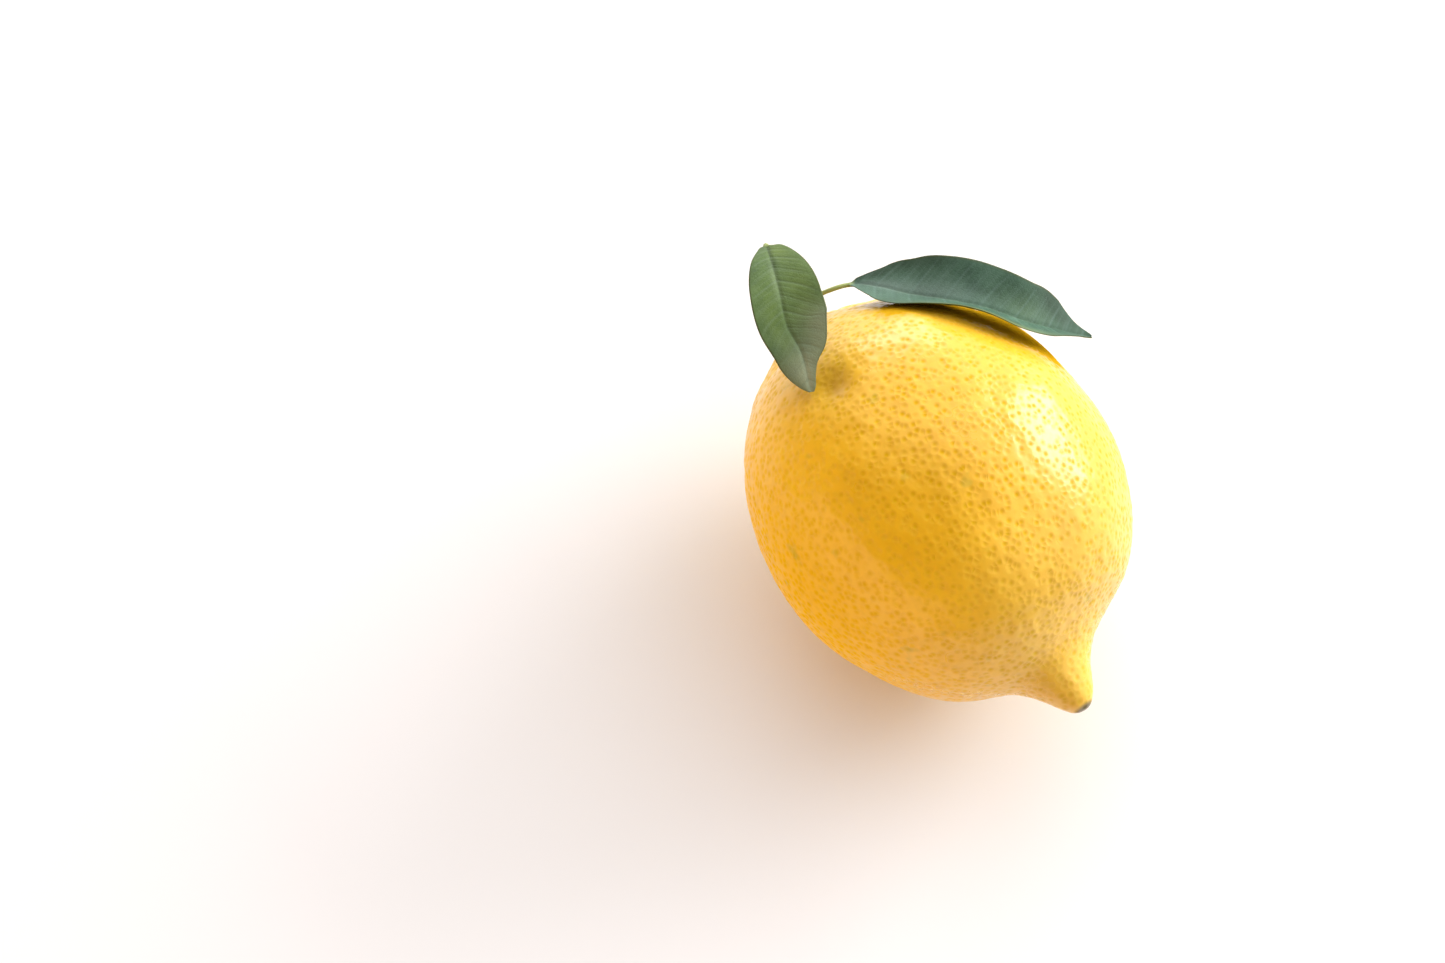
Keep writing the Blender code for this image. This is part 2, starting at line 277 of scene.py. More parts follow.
def stem_folds(folds, points, off_axis, angle):
    """Folds that fan out from the stem: a ring-shaped bell times a cosine of the angle.

    Smooth lumps are added to the angle, so that no fold runs quite straight.
    """
    amount, wavelength, seed = folds["waver"]
    ring = bell(off_axis - folds["radius"], folds["width"])
    return folds["depth"] * ring * np.cos(folds["count"] * angle + amount * lumps(points, wavelength, seed))


turn = np.linspace(POLE_GAP, np.pi - POLE_GAP, PEEL_ROWS)
turn = turn - POLE_CROWDING * np.sin(2.0 * turn)
angle = np.linspace(0.0, 2.0 * np.pi, PEEL_AROUND, endpoint=False)
peel_x, peel_r = peel_profile(turn)
shape = (PEEL_ROWS, PEEL_AROUND)
peel = np.empty((*shape, 3))
peel[..., 0] = peel_x[:, None]
peel[..., 1] = peel_r[:, None] * np.cos(angle)
peel[..., 2] = peel_r[:, None] * np.sin(angle)
off_axis = np.hypot(peel[..., 1], peel[..., 2])
on_nose = peel[..., 0] > 0.0
peel[..., 1] -= NIPPLE["lean"] * bell(off_axis, NIPPLE["lean_radius"]) * on_nose
peel[..., 2] += AXIS_HEIGHT

outward = tube_normals(peel)
dimple = bell(np.linalg.norm(peel - DIMPLE["centre"], axis=-1), DIMPLE["radius"])
quiet = 1.0 - FLAT["fading"] * bell(peel[..., 2], FLAT["height"])
broad, middling, fine = (
    height * lumps(peel, *draw) for height, *draw in (BROAD_LUMPS, MIDDLING_LUMPS, FINE_LUMPS)
)
folds = stem_folds(PLEATS, peel, off_axis, angle) + stem_folds(WRINKLES, peel, off_axis, angle)
lift = broad + middling + quiet * fine + folds * ~on_nose - DIMPLE["depth"] * dimple
peel = peel + lift[..., None] * outward
peel[..., 2] = np.maximum(peel[..., 2], peel_low.z)
scar = on_nose / (1.0 + np.exp((off_axis - SCAR["radius"]) / SCAR["edge"]))

# The band of painted leaf shadow, as a soft strip along its knots.
knot_x, knot_degrees, knot_width = np.array(LEAF_SHADOW_BAND).T
leaf_shadow_x = np.linspace(knot_x[0], knot_x[-1], LEAF_SHADOW_STEPS)
leaf_shadow_line = over_peel(leaf_shadow_x, np.interp(leaf_shadow_x, knot_x, knot_degrees))
leaf_shadow_width = np.interp(leaf_shadow_x, knot_x, knot_width)
leaf_shadow = np.zeros(shape)
for spot, width in zip(leaf_shadow_line, leaf_shadow_width):
    leaf_shadow = np.maximum(leaf_shadow, bell(np.linalg.norm(peel - spot, axis=-1), width))
leaf_shadow = np.clip(LEAF_SHADOW_STRENGTH * leaf_shadow, 0.0, 1.0)

fruit = tube_mesh("fruit_peel", peel, {"dimple": dimple, "scar": scar, "leaf_shadow": leaf_shadow})


def pore_pits(tree, place):
    """1 in the middle of each pore, falling to 0 at its edge, and a random number for each pore.

    Pores are the middles of the cells of an uneven grid in space. A point's distance from its
    cell's middle is split into the part along the peel's normal and the part beside it.
    """
    inputs = {"Vector": place, "Scale": PORES["per_metre"], "Randomness": PORES["unevenness"]}
    cells = add_node(tree, "ShaderNodeTexVoronoi", inputs)
    ends = {0: place, 1: cells.outputs["Position"]}
    away = add_node(tree, "ShaderNodeVectorMath", ends, operation="SUBTRACT").outputs[0]
    facing = add_node(tree, "ShaderNodeTexCoord", {}).outputs["Normal"]
    along_normal = add_node(tree, "ShaderNodeVectorMath", {0: away, 1: facing}, operation="DOT_PRODUCT")
    drop = times(tree, along_normal.outputs["Value"], PORES["per_metre"])
    distance = cells.outputs["Distance"]
    squared = plus(tree, times(tree, distance, distance), times(tree, times(tree, drop, drop), -1.0))
    root = add_node(tree, "ShaderNodeMath", {0: squared, 1: 0.5}, operation="POWER", use_clamp=True)
    pore = times(
        tree,
        spread(tree, root.outputs[0], *PORES["edge"], 1.0, 0.0),
        spread(tree, unsigned(tree, drop), *PORES["reach"], 1.0, 0.0),
    )
    drawn = add_node(tree, "ShaderNodeSeparateColor", {0: cells.outputs["Color"]}).outputs[0]
    return pore, drawn


def peel_colour(tree, place, apart, patches, pore_dark):
    """Yellow in soft patches, deeper orange towards -Y as painted warm bounce light, with pores, flecks and
    the marks: painted shade in the dimple and a painted leaf shadow.
    """
    # Painted warm bounce light: the peel turns deeper orange towards -Y.
    warm_side_paint = spread(tree, apart.outputs["Y"], -0.030, 0.026, 0.62, 0.0)
    colour = ramp(tree, plus(tree, warm_side_paint, times(tree, patches, 0.75)), PEEL_TONES)
    at_ends = spread(tree, unsigned(tree, apart.outputs["X"]), 0.008, 0.038, 0.0, 0.50)
    at_ends = times(tree, at_ends, spread(tree, apart.outputs["Y"], -0.020, -0.004))
    colour = tint(tree, at_ends, colour, PALE_END)
    colour = tint(tree, pore_dark, colour, PORE_SHADE, "MULTIPLY")
    mottle = spread(tree, noise(tree, place, 620.0, 1.0), 0.45, 0.70, 0.0, 0.4)
    colour = tint(tree, mottle, colour, MOTTLE_SHADE, "MULTIPLY")
    flecks = times(tree, spread(tree, noise(tree, place, 210.0, 2.0), 0.66, 0.80), 0.35)
    colour = tint(tree, flecks, colour, FLECK_GREEN)
    # Painted shade: the dimple's hollow is darkened to ochre.
    colour = tint(tree, times(tree, mark(tree, "dimple"), 0.65), colour, DIMPLE_SHADE_OCHRE)
    # Painted shadow: the peel under the far leaf is darkened to ochre.
    colour = tint(tree, times(tree, mark(tree, "leaf_shadow"), 0.90), colour, LEAF_SHADOW_OCHRE)
    scar_edge = times(tree, mark(tree, "scar"), spread(tree, patches, 0.30, 0.60, 0.75, 1.0))
    return tint(tree, spread(tree, scar_edge, 0.35, 0.85, 0.0, 0.9), colour, SCAR_GREY)


def peel_finish():
    """Waxy peel. Pores, the painted leaf shadow and the side towards -Y have less gloss than the rest."""
    made, tree, shader = new_finish("lemon_peel", IOR=1.45, Coat_Roughness=0.15)
    shader.inputs["Subsurface Weight"].default_value = 0.12
    shader.inputs["Subsurface Radius"].default_value = (1.0, 0.45, 0.10)
    shader.inputs["Subsurface Scale"].default_value = 0.003
    place = own_place(tree)
    apart = add_node(tree, "ShaderNodeSeparateXYZ", {0: place})
    patches = noise(tree, place, 42.0, 3.0, 0.55)
    pore, drawn = pore_pits(tree, place)
    pore_dark = times(tree, pore, spread(tree, drawn, 0.0, 1.0, 0.45, 1.0))
    pore_dark = times(tree, pore_dark, spread(tree, apart.outputs["Y"], -0.030, -0.006, 0.35, 1.0))
    colour = peel_colour(tree, place, apart, patches, pore_dark)
    tree.links.new(colour, shader.inputs["Base Color"])

    grain = times(tree, noise(tree, place, 900.0, 2.0), 0.18)
    roughen(tree, shader, plus(tree, times(tree, pore, -1.0), grain), 0.00009, 0.8)
    rough = plus(tree, spread(tree, patches, 0.25, 0.75, 0.26, 0.34), times(tree, pore, 0.30))
    tree.links.new(rough, shader.inputs["Roughness"])
    # Gloss turned down in the pores, in the painted leaf shadow and towards -Y.
    dull = plus(tree, mark(tree, "leaf_shadow"), times(tree, pore_dark, 0.90))
    dull = plus(tree, dull, spread(tree, apart.outputs["Y"], -0.031, -0.014, 0.75, 0.0))
    tree.links.new(spread(tree, dull, 0.0, 1.0, 0.50, 0.0), shader.inputs["Specular IOR Level"])
    tree.links.new(spread(tree, dull, 0.0, 1.0, 0.30, 0.0), shader.inputs["Coat Weight"])
    return made


fruit.data.materials.append(peel_finish())
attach(fruit, "root")
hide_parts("fruit")

# ---------------------------------------------------------------------------------------------
# The calyx: the small green button of five dried sepals that stays on the stem end when a
# lemon is picked with its twig. It sits in a hollow of the peel and grew from the twig.

CALYX_RADIUS = 0.0042
CALYX_THICKNESS = 0.0009
CALYX_CLEARANCE = 0.0003
CALYX_ROWS = 44
CALYX_AROUND = 180
# The rim dips between the sepals and is a little ragged, by shares of the radius. Each sepal has
# a low rib of this height.
SEPALS = {"count": 5, "dip": 0.22, "rib": 0.00010}
RAGGED_RIM = {"count": 17, "depth": 0.02}
CALYX_POLE_GAP = 0.03
CALYX_DOMING = 0.7
CALYX_LUMPS = (0.00006, 0.0012, 11)
CALYX_TONES = ((0.30, (0.07, 0.075, 0.022)), (0.52, (0.15, 0.17, 0.06)), (0.72, (0.26, 0.25, 0.10)))


def stem_peel(radius):
    """X of the peel's stem end, this far from the axis."""
    return peel_profile(np.arcsin(radius / PEEL_RADIUS))[0]


outwards = np.linspace(CALYX_POLE_GAP, 1.0, CALYX_ROWS)
share = np.concatenate((outwards, outwards[-2::-1]))
upper = np.arange(len(share)) >= CALYX_ROWS - 1
round_calyx = np.linspace(0.0, 2.0 * np.pi, CALYX_AROUND, endpoint=False)
sepal_wave = np.cos(SEPALS["count"] * round_calyx)
lobes = 1.0 - SEPALS["dip"] * (0.5 + 0.5 * sepal_wave)
lobes = lobes + RAGGED_RIM["depth"] * np.cos(RAGGED_RIM["count"] * round_calyx)
radius = CALYX_RADIUS * share[:, None] * lobes
dome = np.sqrt(1.0 - CALYX_DOMING * share**2)[:, None] * upper[:, None]
ribs = -SEPALS["rib"] * sepal_wave * share[:, None] * upper[:, None]
calyx = np.empty((len(share), CALYX_AROUND, 3))
calyx[..., 1] = radius * np.cos(round_calyx)
calyx[..., 2] = radius * np.sin(round_calyx) + AXIS_HEIGHT
calyx[..., 0] = stem_peel(radius) - CALYX_CLEARANCE - CALYX_THICKNESS * dome - ribs
calyx_lump, *calyx_draw = CALYX_LUMPS
calyx[..., 0] -= calyx_lump * lumps(calyx, *calyx_draw) * upper[:, None]
calyx_button = tube_mesh("calyx_button", calyx)


def calyx_finish():
    """Dull grey-green and brown, in a fine grain that also roughens the surface."""
    made, tree, shader = new_finish("calyx_green", Roughness=0.62)
    grain = noise(tree, own_place(tree), 900.0, 4.0)
    tree.links.new(ramp(tree, grain, CALYX_TONES), shader.inputs["Base Color"])
    roughen(tree, shader, grain, 0.00010, 0.8)
    return made


calyx_button.data.materials.append(calyx_finish())
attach(calyx_button, "root")
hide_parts("calyx")

# ---------------------------------------------------------------------------------------------
# The twig: a short woody green-brown stalk, cut with a knife at its free end. It flares where
# it meets the calyx, and it swells a little below each leaf that grew from it.

TWIG_RADIUS = 0.0015
TWIG_FOOT_RADIUS = 0.0021
TWIG_FOOT_LENGTH = 0.0020
TWIG_LENGTH = 0.0098
TWIG_RISE = 0.0012
TWIG_ROWS = 90
TWIG_AROUND = 72
# Where each leaf grew: distance past the stem end, and degrees round the twig.
NEAR_LEAF_SPOT = (0.0072, 88.0)
FAR_LEAF_SPOT = (0.0055, 50.0)
LEAF_CUSHION = {"height": 0.00018, "length": 0.0012, "narrowness": 3}
# The twig has five faint edges, which turn slowly along it.
TWIG_EDGES = {"count": 5, "share": 0.025, "twist": 60.0}
BARK_LUMPS = (0.00005, 0.0011, 12)
# The cut face: rings of it, its bevelled rim, and the dome and marks that the knife left.
CUT_RINGS = 8
CUT_BEVEL = 0.97
CUT_SHARES = (0.93, 0.06)
CUT_DOME = (0.00012, 0.3)
CUT_LUMPS = (0.00005, 0.0009, 13)
# The twig starts this far off the top of the calyx.
TWIG_GAP = 0.0002
BARK_TONES = ((0.32, (0.055, 0.042, 0.014)), (0.52, (0.13, 0.115, 0.038)), (0.70, (0.26, 0.21, 0.10)))
CUT_WOOD = (0.52, 0.44, 0.24, 1.0)


def twig_centre(past):
    """Centre of the twig past the stem end: it rises with the square of the distance."""
    rise = TWIG_RISE * (np.clip(past, 0.0, None) / TWIG_LENGTH) ** 2
    return np.stack((-HALF_LENGTH - past, np.zeros_like(past), AXIS_HEIGHT + rise), axis=-1)


def twig_radius(past):
    """Radius of the twig past the stem end, with a bell-shaped flare at its foot."""
    return TWIG_RADIUS + (TWIG_FOOT_RADIUS - TWIG_RADIUS) * bell(past, TWIG_FOOT_LENGTH)


calyx_top = CALYX_THICKNESS + CALYX_CLEARANCE - stem_peel(TWIG_FOOT_RADIUS) - HALF_LENGTH
past = np.linspace(calyx_top + TWIG_GAP, TWIG_LENGTH, TWIG_ROWS)
round_twig = np.linspace(0.0, 2.0 * np.pi, TWIG_AROUND, endpoint=False)
edges = np.cos(TWIG_EDGES["count"] * round_twig + TWIG_EDGES["twist"] * past[:, None])
bark = twig_radius(past)[:, None] * (1.0 + TWIG_EDGES["share"] * edges)
for spot_place, spot_angle in (NEAR_LEAF_SPOT, FAR_LEAF_SPOT):
    beside = np.cos(round_twig - np.radians(spot_angle)).clip(0.0) ** LEAF_CUSHION["narrowness"]
    cushion = LEAF_CUSHION["height"] * bell(past - spot_place, LEAF_CUSHION["length"])
    bark = bark + cushion[:, None] * beside
bark[-1] *= CUT_BEVEL
twig = np.repeat(twig_centre(past)[:, None], TWIG_AROUND, axis=1)
twig[..., 1] += bark * np.cos(round_twig)
twig[..., 2] += bark * np.sin(round_twig)

cut_middle = np.repeat(twig_centre(past[-1:])[:, None], TWIG_AROUND, axis=1)
inwards = np.linspace(*CUT_SHARES, CUT_RINGS)[:, None, None]
cut_face = cut_middle + (twig[-1:] - cut_middle) * inwards
cut_lump, *cut_draw = CUT_LUMPS
dome_height, dome_radius = CUT_DOME
cut_face[..., 0] += cut_lump * lumps(cut_face, *cut_draw) + dome_height * bell(inwards[..., 0], dome_radius)
twig = np.concatenate((twig, cut_face))
bark_lump, *bark_draw = BARK_LUMPS
twig[: TWIG_ROWS - 1] += (bark_lump * lumps(twig, *bark_draw))[: TWIG_ROWS - 1, :, None]
is_cut = np.zeros(twig.shape[:2])
is_cut[TWIG_ROWS:] = 1.0
twig_stalk = tube_mesh("twig_stalk", twig, {"cut": is_cut})


def twig_finish():
    """Olive bark with fine brown streaks along it, and a pale cut face."""
    made, tree, shader = new_finish("twig_bark", Roughness=0.66)
    squeezed = {"Vector": own_place(tree), "Scale": (0.22, 1.0, 1.0)}
    drawn_out = add_node(tree, "ShaderNodeMapping", squeezed).outputs[0]
    streaks = noise(tree, drawn_out, 2200.0, 4.0)
    colour = tint(tree, mark(tree, "cut"), ramp(tree, streaks, BARK_TONES), CUT_WOOD)
    tree.links.new(colour, shader.inputs["Base Color"])
    roughen(tree, shader, streaks, 0.00012, 0.9)
    return made


twig_stalk.data.materials.append(twig_finish())
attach(twig_stalk, "root")
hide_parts("twig")

# ---------------------------------------------------------------------------------------------
# The two leaves: tough, waxy evergreen blades, dark green above and paler below. Each is
# folded a little along its midrib, which stands out underneath and runs on into a round
# stalk. They grew from the twig, and one bends over towards the fruit.

BLADE_THICKNESS = 0.0004
LEAF_ROWS = 250
STALK_ROWS = 40
HALF_COLUMNS = 34
# A stalk sinks this far into the bark on a swollen foot, and its blade stays where it was.
STALK_SINK = 0.0004
LEAF_CLEARANCE = 0.0003
STALK_FOOT = {"swell": 0.7, "length": 0.0014}
# The stalk's disc turns into the blade's plate over this share of the blade's length.
BLADE_START = 0.05
MIDRIB_TIP_RADIUS = 0.00012
MIDRIB_HEIGHT = 1.4
FURROW = {"depth": 0.00016, "width": 0.0004}
# Side veins: their spacing along the midrib, their width and strength, and where they start.
MAIN_VEINS = {"spacing": 0.0031, "width": 0.24, "strength": 0.8, "start": 0.0}
FINE_VEINS = {"spacing": 0.00125, "width": 0.40, "strength": 0.55, "start": 0.6}
VEIN_BEND = 18.0
VEIN_DEPTH = 0.00002
QUILT_HEIGHT = 0.00003
MARGIN_WAVE = (0.00022, 0.014, 21)
PATH_STEPS = 40
# How the rows crowd towards the tip and the columns towards the midrib, and how the blade is
# cupped beside the midrib: powers of the way along and across.
TIP_CROWDING = 0.9
MARGIN_CROWDING = 1.15
CUPPING = 0.35
SHADED_GREEN = (0.018, 0.032, 0.016, 1.0)
MIDRIB_GREEN = (0.05, 0.07, 0.03, 1.0)
RIM_SHADE_GREEN = (0.045, 0.050, 0.014, 1.0)
UNDERSIDE_GREENS = ((0.085, 0.135, 0.050, 1.0), (0.14, 0.20, 0.08, 1.0))
STALK_GREEN = (0.31, 0.36, 0.130, 1.0)
LEAVES = {
    "leaf_near": {
        "spot": NEAR_LEAF_SPOT,
        # The line of stalk and midrib: beyond the stem end, degrees round the axis, height.
        "guides": (
            (0.0112, 90.0, 0.0105),
            (0.0124, 88.0, 0.0178),
            (0.0078, 93.0, 0.0240),
            (0.0018, 98.0, 0.0275),
            (-0.0042, 103.0, 0.0147),
            (-0.0095, 105.0, 0.0078),
            (-0.0147, 111.0, 0.0018),
        ),
        "stalk_radius": 0.00050,
        "stalk_length": 0.0168,
        "vein_lean": 0.60,
        # Patches of painted sheen, of painted shade, and of warm green that is partly painted bounce light:
        # along, across (less than 0 is the left half), long, wide, amount.
        "patches": {
            "painted_sheen": (
                (0.92, -0.10, 0.15, 1.10, 1.0),
                (0.70, -0.85, 0.12, 0.40, 0.5),
                (0.36, 0.10, 0.16, 0.16, 0.20),
            ),
            "dark_blotch_and_shade": (
                (0.16, 0.0, 0.14, 0.10, 0.6),
                (0.62, 0.75, 0.25, 0.25, 0.4),
                (0.02, 0.30, 0.12, 1.0, 0.6),
            ),
            "warm_green_and_bounce": (
                (0.12, -0.45, 0.14, 0.45, 0.9),
                (0.42, -0.60, 0.18, 0.40, 0.5),
                (0.55, 0.45, 0.20, 0.35, 0.5),
            ),
        },
        "greens": {
            "base": (0.080, 0.130, 0.040),
            "light": (0.110, 0.168, 0.058),
            "dark_blotch_and_shade": (0.050, 0.090, 0.029),
            "painted_sheen": (0.40, 0.46, 0.33, 1.0),
            "vein": (0.16, 0.22, 0.14, 1.0),
            "warm_green_and_bounce": (0.14, 0.20, 0.037, 1.0),
        },
        "blade_length": 0.0332,
        "face_at_base": (-0.50, 0.30, 0.80),
        "face_at_tip": (0.21, -0.16, 0.97),
        # The margin of each half: share of the length, millimetres out, degrees up.
        "left": (
            (0.00, 0.6, 2.0),
            (0.04, 2.0, 3.0),
            (0.10, 3.0, 5.0),
            (0.20, 4.4, 7.0),
            (0.30, 5.6, 9.0),
            (0.40, 6.4, 11.0),
            (0.50, 6.9, 12.0),
            (0.60, 7.2, 12.0),
            (0.69, 6.9, 12.0),
            (0.78, 4.9, 9.0),
            (0.85, 2.3, 4.0),
            (0.91, 1.4, 2.0),
            (0.97, 1.0, 2.0),
            (1.00, 0.5, 2.0),
        ),
        "right": (
            (0.00, 0.6, 2.0),
            (0.04, 1.1, 2.0),
            (0.10, 1.9, 3.0),
            (0.20, 3.3, 6.0),
            (0.30, 4.3, 7.0),
            (0.40, 4.9, 8.0),
            (0.50, 5.1, 9.0),
            (0.60, 5.0, 9.0),
            (0.70, 4.7, 8.0),
            (0.80, 4.5, 8.0),
            (0.86, 4.1, 7.0),
            (0.92, 3.1, 5.0),
            (0.97, 1.7, 3.0),
            (1.00, 0.4, 2.0),
        ),
    },
    "leaf_far": {
        "spot": FAR_LEAF_SPOT,
        "guides": (
            (0.0021, 60.0, 0.0108),
            (0.0001, 48.0, 0.0142),
            (-0.0036, 44.0, 0.0042),
            (-0.0080, 41.0, 0.0014),
            (-0.0134, 37.0, 0.0012),
            (-0.0187, 32.0, 0.0018),
            (-0.0238, 27.0, 0.0025),
            (-0.0277, 21.0, 0.0041),
            (-0.0317, 15.0, 0.0067),
        ),
        "stalk_radius": 0.00040,
        "stalk_length": 0.0120,
        "vein_lean": 0.35,
        "patches": {
            "painted_sheen": (
                (0.12, -0.05, 0.14, 0.28, 0.55),
                (0.38, -0.22, 0.22, 0.30, 0.50),
                (0.20, 0.55, 0.20, 0.5, 0.2),
            ),
            "dark_blotch_and_shade": (
                (0.22, -0.98, 0.24, 0.44, 1.0),
                (0.84, -0.80, 0.09, 0.50, 0.95),
                (0.08, -0.7, 0.09, 0.4, 0.7),
                (0.95, 0.0, 0.10, 1.2, 0.7),
                (0.62, -0.80, 0.15, 0.3, 0.3),
            ),
            "warm_green_and_bounce": ((0.57, 1.0, 0.20, 0.30, 1.0), (0.72, -0.35, 0.12, 0.40, 0.15)),
        },
        "greens": {
            "base": (0.058, 0.116, 0.076),
            "light": (0.084, 0.152, 0.106),
            "dark_blotch_and_shade": (0.034, 0.072, 0.046),
            "painted_sheen": (0.16, 0.20, 0.18, 1.0),
            "vein": (0.13, 0.20, 0.17, 1.0),
            "warm_green_and_bounce": (0.25, 0.27, 0.075, 1.0),
        },
        "blade_length": 0.0452,
        "face_at_base": (-0.46, 0.35, 0.82),
        "face_at_tip": (-0.46, 0.35, 0.82),
        "left": (
            (0.00, 0.4, 6.0),
            (0.05, 1.3, 8.0),
            (0.10, 3.3, 14.0),
            (0.15, 5.0, 21.0),
            (0.20, 6.3, 27.0),
            (0.30, 7.6, 30.0),
            (0.40, 8.0, 30.0),
            (0.50, 8.0, 30.0),
            (0.60, 7.5, 30.0),
            (0.70, 7.1, 30.0),
            (0.79, 6.9, 29.0),
            (0.85, 5.9, 25.0),
            (0.90, 4.2, 18.0),
            (0.95, 2.0, 9.0),
            (1.00, 0.3, 3.0),
        ),
        "right": (
            (0.00, 0.4, 6.0),
            (0.05, 2.0, 20.0),
            (0.10, 3.6, 19.0),
            (0.15, 5.0, 17.0),
            (0.20, 6.0, 16.0),
            (0.30, 6.9, 22.0),
            (0.40, 7.1, 27.0),
            (0.50, 7.0, 33.0),
            (0.60, 6.8, 30.0),
            (0.70, 6.2, 22.0),
            (0.80, 5.0, 17.0),
            (0.87, 3.6, 21.0),
            (0.94, 1.8, 22.0),
            (1.00, 0.3, 10.0),
        ),
    },
}


def unit(vectors):
    """The vectors, each divided by its own length."""
    return vectors / np.linalg.norm(vectors, axis=-1, keepdims=True)


def smooth_path(knots):
    """A Catmull-Rom curve through the knots, with straight run-ins at both ends.

    Between two knots it is the cubic that leaves each of them parallel to the line between that
    knot's two neighbours.
    """
    knots = np.vstack((2.0 * knots[0] - knots[1], knots, 2.0 * knots[-1] - knots[-2]))
    a, b, c, d = (knots[i : len(knots) - 3 + i, None] for i in range(4))
    t = np.linspace(0.0, 1.0, PATH_STEPS, endpoint=False)[None, :, None]
    cubic = (3.0 * (b - c) + d - a) * t**3 + (2.0 * a - 5.0 * b + 4.0 * c - d) * t**2
    curve = b + 0.5 * ((c - a) * t + cubic)
    return np.vstack((curve.reshape(-1, 3), knots[-2:-1]))


def along_path(path, distances):
    """Points at these distances along the path, which runs on straight past its end."""
    steps = np.linalg.norm(np.diff(path, axis=0), axis=1)
    reach = np.concatenate(([0.0], np.cumsum(steps)))
    inside = np.stack([np.interp(distances, reach, path[:, axis]) for axis in range(3)], axis=1)
    beyond = np.clip(distances - reach[-1], 0.0, None)[:, None]
    return inside + beyond * (path[-1] - path[-2]) / steps[-1]


def leaf_centre(leaf, distances):
    """The line of the stalk and midrib, through guides measured from the fruit's axis and peel."""
    place = np.array(leaf["spot"][0])
    around = np.radians(leaf["spot"][1])
    off_twig = twig_radius(place) - STALK_SINK
    foot = twig_centre(place) + off_twig * np.array((0.0, np.cos(around), np.sin(around)))
    beyond, degrees, height = np.array(leaf["guides"]).T
    guides = over_peel(-HALF_LENGTH - beyond, degrees, height)
    return along_path(smooth_path(np.vstack((foot, guides))), distances)


def leaf_margin(table, share):
    """Width and slope of a half blade at each share of its length, on a smooth curve."""
    places, width, degrees = smooth_path(np.array(table)).T
    return np.interp(share, places, width) / 1000.0, np.radians(np.interp(share, places, degrees))


def vein_lines(back, lines):
    """Lines where back is a whole number of spacings, as exp(-(sin(pi back / spacing) / width)^2)."""
    wave = np.sin(np.pi * back / lines["spacing"] + lines["start"])
    return lines["strength"] * np.exp(-((wave / lines["width"]) ** 2))


def half_blade(leaf, half, past_stalk, share, flat, rib):
    """One half of a leaf from the midrib to the margin: out, up to the top, down to the low face.

    On the stalk the section is a disc. Where flat grows from 0 to 1 it turns into a thin plate
    that slopes up from the midrib. The midrib is a furrow above and a bell-shaped ridge below,
    and the side veins are finer furrows, which bend towards the tip with the square of out.
    """
    width, slope = leaf_margin(leaf[half], share)
    steps = np.linspace(0.0, 1.0, HALF_COLUMNS)
    across = flat * steps**MARGIN_CROWDING + (1.0 - flat) * np.sin(0.5 * np.pi * steps)
    out = np.maximum(rib, flat * width[:, None]) * across
    back = past_stalk[:, None] - leaf["vein_lean"] * out - VEIN_BEND * out**2
    inside = flat * np.clip(1.0 - across**4, 0.0, 1.0)
    veins = np.clip(vein_lines(back, MAIN_VEINS) + vein_lines(back, FINE_VEINS), 0.0, 1.0) * inside
    quilt = QUILT_HEIGHT * np.abs(np.sin(np.pi * back / MAIN_VEINS["spacing"])) * inside
    swell = quilt - VEIN_DEPTH * veins
    disc = rib * np.sqrt(np.clip(1.0 - across**2, 0.0, None))
    plate = 0.5 * BLADE_THICKNESS * np.sqrt(np.clip(1.0 - across**6, 0.0, None))
    ridge = MIDRIB_HEIGHT * rib * bell(out, rib)
    furrow = FURROW["depth"] * bell(out, FURROW["width"]) * flat
    middle = out * np.sin(slope[:, None] * flat) * across**CUPPING
    top = middle + flat * (plate - furrow + swell) + (1.0 - flat) * disc
    low = middle - flat * (np.maximum(plate, ridge) - swell) - (1.0 - flat) * disc
    top[:, -1] = middle[:, -1]
    low[:, -1] = middle[:, -1]
    return out * np.cos(slope[:, None] * flat), top, low, veins


def join_halves(left_top, right_top, right_low, left_low):
    """Four half rows as one ring: over the top from the left margin, and back underneath."""
    parts = (left_top[:, :0:-1], right_top, right_low[:, -2:0:-1], left_low[:, :-1])
    return np.concatenate(parts, axis=1)


def patch_tone(patches, along, across):
    """Soft oval patches on the blade, added up and kept between 0 and 1."""
    total = np.zeros(along.shape)
    for at_along, at_across, long, wide, amount in patches:
        total = total + amount * bell(np.hypot((along - at_along) / long, (across - at_across) / wide), 1.0)
    return np.clip(total, 0.0, 1.0)


